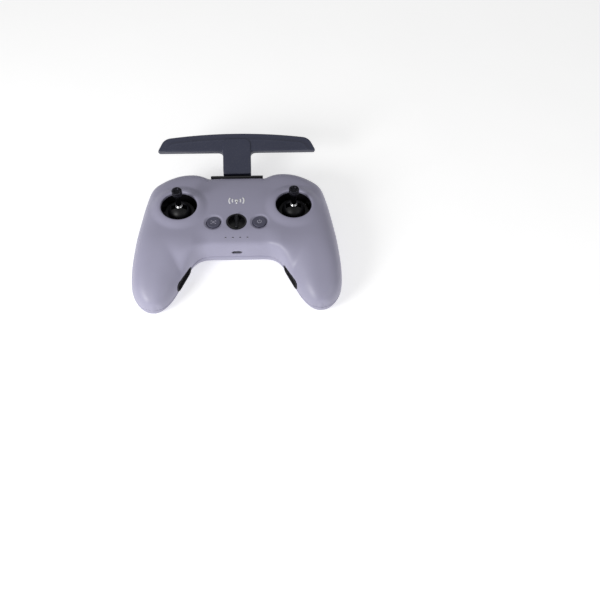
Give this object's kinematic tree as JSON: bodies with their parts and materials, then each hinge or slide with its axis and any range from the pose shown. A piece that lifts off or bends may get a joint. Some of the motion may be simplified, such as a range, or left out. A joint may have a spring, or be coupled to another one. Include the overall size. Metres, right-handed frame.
{
  "type": "radio transmitter controller",
  "caption": "Hand-held radio transmitter with sprung stick gimbals, push buttons, lanyard bar and a fold-over T-shaped antenna.",
  "frame": {"origin": "on the flat back of the hump, under the middle of the body", "axes": "+Z out of the face, +Y towards the antenna, +X to the right-hand stick"},
  "size_m": [0.19, 0.1869, 0.0632],
  "materials": {
    "shell": "satin",
    "antenna": "satin",
    "black_plastic": "matte",
    "key": "matte",
    "steel": "brushed",
    "dark_steel": "satin",
    "brass": "satin",
    "circuit_board": "satin",
    "switch_plastic": "matte",
    "battery_wrap": "gloss",
    "lead": "gloss",
    "rubber": "matte",
    "light": "frosted",
    "metal_stick": "anodised"
  },
  "bodies": {
    "body": {"front_shell": "shell", "rear_shell": "shell", "shell_screws": "steel", "main_board": "circuit_board", "board_screws": "steel", "rf_shield": "steel", "buzzer": "switch_plastic", "usb_socket": "steel", "battery_pack": "battery_wrap", "battery_lead": "lead", "light_guide": "light", "lanyard_cup": "black_plastic", "lanyard_bar": "dark_steel", "button_switches": "switch_plastic", "left_gimbal_frame": "black_plastic", "left_gimbal_bushes": "brass", "left_gimbal_screws": "steel", "left_gimbal_sensors": "circuit_board", "left_gimbal_springs": "steel", "left_gimbal_ribbon": "brass", "left_stick_clip": "rubber", "right_gimbal_frame": "black_plastic", "right_gimbal_bushes": "brass", "right_gimbal_screws": "steel", "right_gimbal_sensors": "circuit_board", "right_gimbal_springs": "steel", "right_gimbal_ribbon": "brass", "right_stick_clip": "rubber", "hinge_base": "black_plastic", "hinge_pins": "steel", "hinge_washers": "steel", "hinge_screws": "steel", "body_coax": "black_plastic", "dial_bracket": "steel", "left_shoulder_switches": "circuit_board", "right_shoulder_switches": "circuit_board"},
    "left_pitch": {"left_yoke": "black_plastic"},
    "left_stick": {"left_stick_shaft": "dark_steel", "left_stick_end": "metal_stick"},
    "right_pitch": {"right_yoke": "black_plastic"},
    "right_stick": {"right_stick_shaft": "dark_steel", "right_stick_end": "metal_stick"},
    "antenna": {"antenna_front_cover": "antenna", "antenna_rear_cover": "antenna", "antenna_board": "circuit_board", "antenna_elements": "brass", "antenna_screws": "steel", "antenna_coax": "black_plastic"},
    "power_key": {"power_button": "key"},
    "custom_key": {"custom_button": "key"},
    "dial": {"gimbal_dial": "black_plastic", "dial_axle": "steel"},
    "pause_key": {"pause_button": "key"},
    "rocker": {"custom_rocker": "key"},
    "record_key": {"record_button": "key"},
    "slider": {"mode_slider": "key"},
    "start_key": {"start_button": "key"}
  },
  "joints": [
    {"name": "antenna_fold", "type": "hinge", "parent": "body", "child": "antenna", "pos_m": [0, 0.053, 0.0235], "axis": [1, 0, 0], "range_deg": [-183, 45]},
    {"name": "left_stick_pitch", "type": "hinge", "parent": "body", "child": "left_pitch", "pos_m": [-0.053, 0.005, 0.0312], "axis": [1, 0, 0], "range_deg": [-25, 25], "stiffness_Nm_per_rad": 0.08},
    {"name": "left_stick_roll", "type": "hinge", "parent": "left_pitch", "child": "left_stick", "pos_m": [-0.053, 0.005, 0.0312], "axis": [0, 1, 0], "range_deg": [-25, 25], "stiffness_Nm_per_rad": 0.08},
    {"name": "right_stick_pitch", "type": "hinge", "parent": "body", "child": "right_pitch", "pos_m": [0.053, 0.005, 0.0312], "axis": [1, 0, 0], "range_deg": [-25, 25], "stiffness_Nm_per_rad": 0.08},
    {"name": "right_stick_roll", "type": "hinge", "parent": "right_pitch", "child": "right_stick", "pos_m": [0.053, 0.005, 0.0312], "axis": [0, 1, 0], "range_deg": [-25, 25], "stiffness_Nm_per_rad": 0.08},
    {"name": "power_press", "type": "slide", "parent": "body", "child": "power_key", "axis": [0, 0, -1], "range_m": [0, 0.0008], "stiffness_N_per_m": 600},
    {"name": "custom_press", "type": "slide", "parent": "body", "child": "custom_key", "axis": [0, 0, -1], "range_m": [0, 0.0008], "stiffness_N_per_m": 600},
    {"name": "dial_turn", "type": "hinge", "parent": "body", "child": "dial", "pos_m": [-0.03763, 0.04723, 0.0225], "axis": [0, 0, 1], "range_deg": [-35, 35], "stiffness_Nm_per_rad": 0.02},
    {"name": "pause_press", "type": "slide", "parent": "body", "child": "pause_key", "axis": [0.2472, -0.969, 0], "range_m": [0, 0.0008], "stiffness_N_per_m": 600},
    {"name": "rocker_tilt", "type": "hinge", "parent": "body", "child": "rocker", "pos_m": [-0.06651, 0.04103, 0.0225], "axis": [0, 0, 1], "range_deg": [-8, 8], "stiffness_Nm_per_rad": 0.05},
    {"name": "record_press", "type": "slide", "parent": "body", "child": "record_key", "axis": [0.3561, -0.9344, 0], "range_m": [0, 0.0008], "stiffness_N_per_m": 600},
    {"name": "mode_slide", "type": "slide", "parent": "body", "child": "slider", "axis": [0.9758, -0.2188, 0], "range_m": [-0.0035, 0.0035]},
    {"name": "start_press", "type": "slide", "parent": "body", "child": "start_key", "axis": [-0.5803, -0.8144, 0], "range_m": [0, 0.0008], "stiffness_N_per_m": 600}
  ]
}
